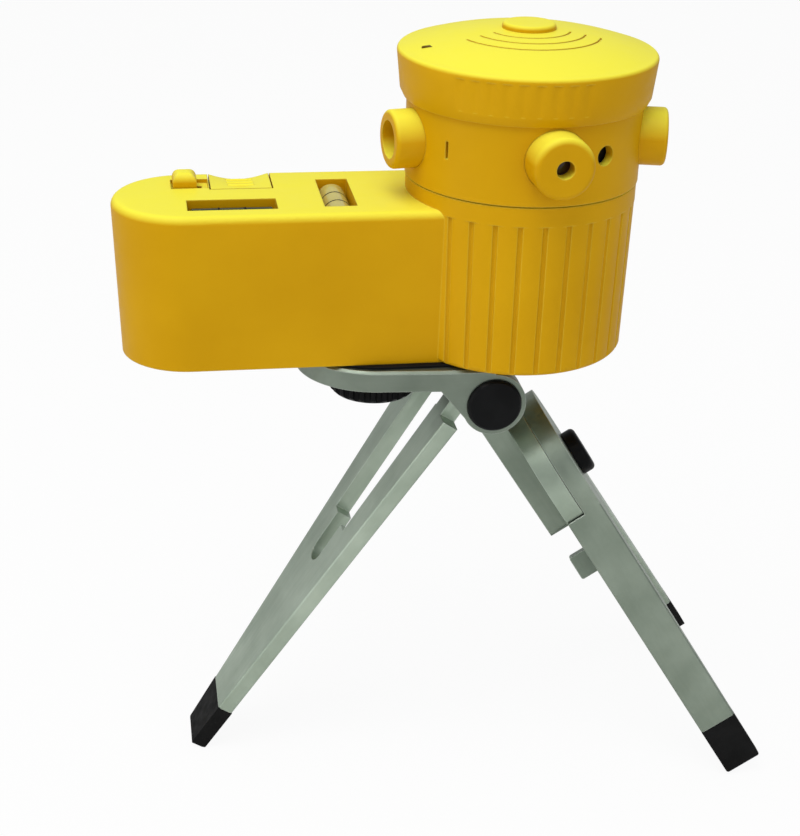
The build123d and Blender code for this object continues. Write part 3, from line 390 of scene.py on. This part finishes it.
def vial_detail(node, direction, level):
    """Two gauge lines round the barrel, and the bubble under its crown."""
    low, high = (Vector(corner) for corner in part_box(node))
    centre = (low + high) / 2
    radius = (high.z - low.z) / 2
    place = along(direction, centre)
    ink = dark("gauge_ink_" + node, BLACK, 0.4, 0.5, 900, 0.01)

    def lines(bm):
        for side in (-1, 1):
            at = side * GAUGE_OFFSET
            sides = at - GAUGE_HALF_W, at + GAUGE_HALF_W
            band(bm, radius + GAUGE_PROUD, radius - GAUGE_SUNK, *sides, place)

    def bubble(bm):
        rise = Vector((0, 0, radius * BUBBLE_RISE))
        raised = along(direction, centre + rise + direction * level)
        turns = [pi * k / BUBBLE_RINGS for k in range(1, BUBBLE_RINGS)]
        points = [(BUBBLE_TALL * sin(a), -BUBBLE_LONG * cos(a)) for a in turns]
        rings = turned(bm, points, raised, 24)
        for ring in (rings[0], rings[-1]):
            bm.faces.new(ring)

    piece(node + "_lines", lines, ink, "leveller")
    air = glass("air_bubble_" + node, (0.97, 0.99, 0.80, 1), 0.02, 0.7)
    piece(node + "_bubble", bubble, air, "leveller")


def painted_shade_sleeve():
    """Dark sleeve behind the turret wall, seen through its port and slit: painted shade for the
    hollow turret's dark inside.
    """
    low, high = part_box("turret")
    place = Matrix.Translation((HEAD.x, HEAD.y, 0))

    def build(bm):
        ends = low[2] + SHADE_SLEEVE_UP, high[2] - SHADE_SLEEVE_DOWN
        band(bm, SHADE_SLEEVE_OUTER, SHADE_SLEEVE_INNER, *ends, place)

    # Painted shade: black where the turret's inside falls dark.
    black = dark("painted_shade_black", BLACK, 0.6, 0.7, 900, 0.02)
    piece("painted_shade_sleeve", build, black, "head")


def cap_pointer():
    """Small raised arrowhead near the cap's left rim, which shows the turning direction."""
    plug_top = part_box("centre_plug")[1][2]
    centre = Vector((HEAD.x, HEAD.y, plug_top)) + POINTER_PLACE

    def build(bm):
        rows = []
        for z, grow in ((-POINTER_H, 1.0), (POINTER_H, 1.0), (POINTER_H * POINTER_TIP, POINTER_TOP)):
            corners = [Vector((x * grow * MM, y * grow * MM, z)) for x, y in POINTER_OUTLINE]
            rows.append([bm.verts.new(centre + corner) for corner in corners])
        for low, high in zip(rows, rows[1:]):
            for i in range(3):
                j = (i + 1) % 3
                bm.faces.new((low[i], low[j], high[j], high[i]))
        bm.faces.new(rows[0][::-1])
        bm.faces.new(rows[-1])

    ink = dark("pointer_ink", POINTER_INK, 0.4, 0.5, 900, 0.01)
    piece("cap_pointer", build, ink, "head")


# ---- studio ------------------------------------------------------------------------------


def camera():
    data = bpy.data.cameras.new("camera")
    data.sensor_fit = "HORIZONTAL"
    data.sensor_width = CAMERA_SENSOR
    data.lens = CAMERA_LENS
    data.clip_start = 0.01
    data.clip_end = 10
    obj = bpy.data.objects.new("camera", data)
    bpy.context.scene.collection.objects.link(obj)
    forward = Vector((sin(CAMERA_YAW) * cos(CAMERA_PITCH), cos(CAMERA_YAW) * cos(CAMERA_PITCH),
                      -sin(CAMERA_PITCH)))
    level = Vector((cos(CAMERA_YAW), -sin(CAMERA_YAW), 0))
    up = level.cross(forward)
    right = cos(CAMERA_ROLL) * level + sin(CAMERA_ROLL) * up
    top = cos(CAMERA_ROLL) * up - sin(CAMERA_ROLL) * level
    place = Matrix((right, top, -forward)).transposed().to_4x4()
    place.translation = Vector((HEAD.x, HEAD.y, UNDERSIDE)) + CAMERA_FROM_HEAD
    obj.matrix_world = place
    bpy.context.scene.camera = obj


def floor():
    """Pale floor that keeps a faint shadow of the object."""
    size = 4.0
    mesh = bpy.data.meshes.new("floor")
    corners = [(-size, -size, 0), (size, -size, 0), (size, size, 0), (-size, size, 0)]
    mesh.from_pydata(corners, [], [(0, 1, 2, 3)])
    obj = bpy.data.objects.new("floor", mesh)
    bpy.context.scene.collection.objects.link(obj)
    material = bpy.data.materials.new("floor")
    material.use_nodes = True
    tree = material.node_tree
    shader = tree.nodes["Principled BSDF"]
    shader.inputs["Base Color"].default_value = FLOOR_WHITE
    shader.inputs["Roughness"].default_value = 0.9
    glow = tree.nodes.new("ShaderNodeEmission")
    glow.inputs["Strength"].default_value = 1.0
    share = tree.nodes.new("ShaderNodeMath")
    share.operation = "MULTIPLY"
    share.inputs[1].default_value = FLOOR_GLOW
    tree.links.new(tree.nodes.new("ShaderNodeLightPath").outputs["Is Camera Ray"], share.inputs[0])
    blend = tree.nodes.new("ShaderNodeMixShader")
    tree.links.new(share.outputs[0], blend.inputs[0])
    tree.links.new(shader.outputs[0], blend.inputs[1])
    tree.links.new(glow.outputs[0], blend.inputs[2])
    tree.links.new(blend.outputs[0], tree.nodes["Material Output"].inputs["Surface"])
    mesh.materials.append(material)


def world():
    """Soft grey room for light, white where it is seen."""
    made = bpy.data.worlds.new("room")
    bpy.context.scene.world = made
    made.use_nodes = True
    tree = made.node_tree
    plain = tree.nodes["Background"]
    plain.inputs["Color"].default_value = ROOM_LIGHT
    plain.inputs["Strength"].default_value = ROOM_STRENGTH
    white = tree.nodes.new("ShaderNodeBackground")
    white.inputs["Color"].default_value = (1, 1, 1, 1)
    white.inputs["Strength"].default_value = 1.0
    path = tree.nodes.new("ShaderNodeLightPath")
    blend = tree.nodes.new("ShaderNodeMixShader")
    tree.links.new(path.outputs["Is Camera Ray"], blend.inputs[0])
    tree.links.new(plain.outputs[0], blend.inputs[1])
    tree.links.new(white.outputs[0], blend.inputs[2])
    tree.links.new(blend.outputs[0], tree.nodes["World Output"].inputs["Surface"])


def lamp(name, place, size, power, target):
    data = bpy.data.lights.new(name, "AREA")
    data.shape = "RECTANGLE"
    data.size, data.size_y = size
    data.energy = power
    obj = bpy.data.objects.new(name, data)
    bpy.context.scene.collection.objects.link(obj)
    obj.location = place
    obj.rotation_euler = (Vector(target) - Vector(place)).to_track_quat("-Z", "Y").to_euler()


def studio():
    aim = (0, 0, 0.08)
    lamp("key", (-0.25, -0.25, 0.95), (0.7, 0.7), 5.6, aim)
    lamp("front_fill", (0.35, -0.95, 0.35), (0.6, 0.5), 1.1, aim)
    lamp("left_strip", (-0.8, -0.2, 0.25), (0.25, 0.6), 1.0, aim)
    bpy.context.scene.view_settings.view_transform = "Standard"


finish_nodes()
vial_detail("long_vial", Vector((1, 0, 0)), 0.0)
vial_detail("cross_vial", Vector((0, 1, 0)), -1.0 * MM)
painted_shade_sleeve()
cap_pointer()
camera()
world()
floor()
studio()
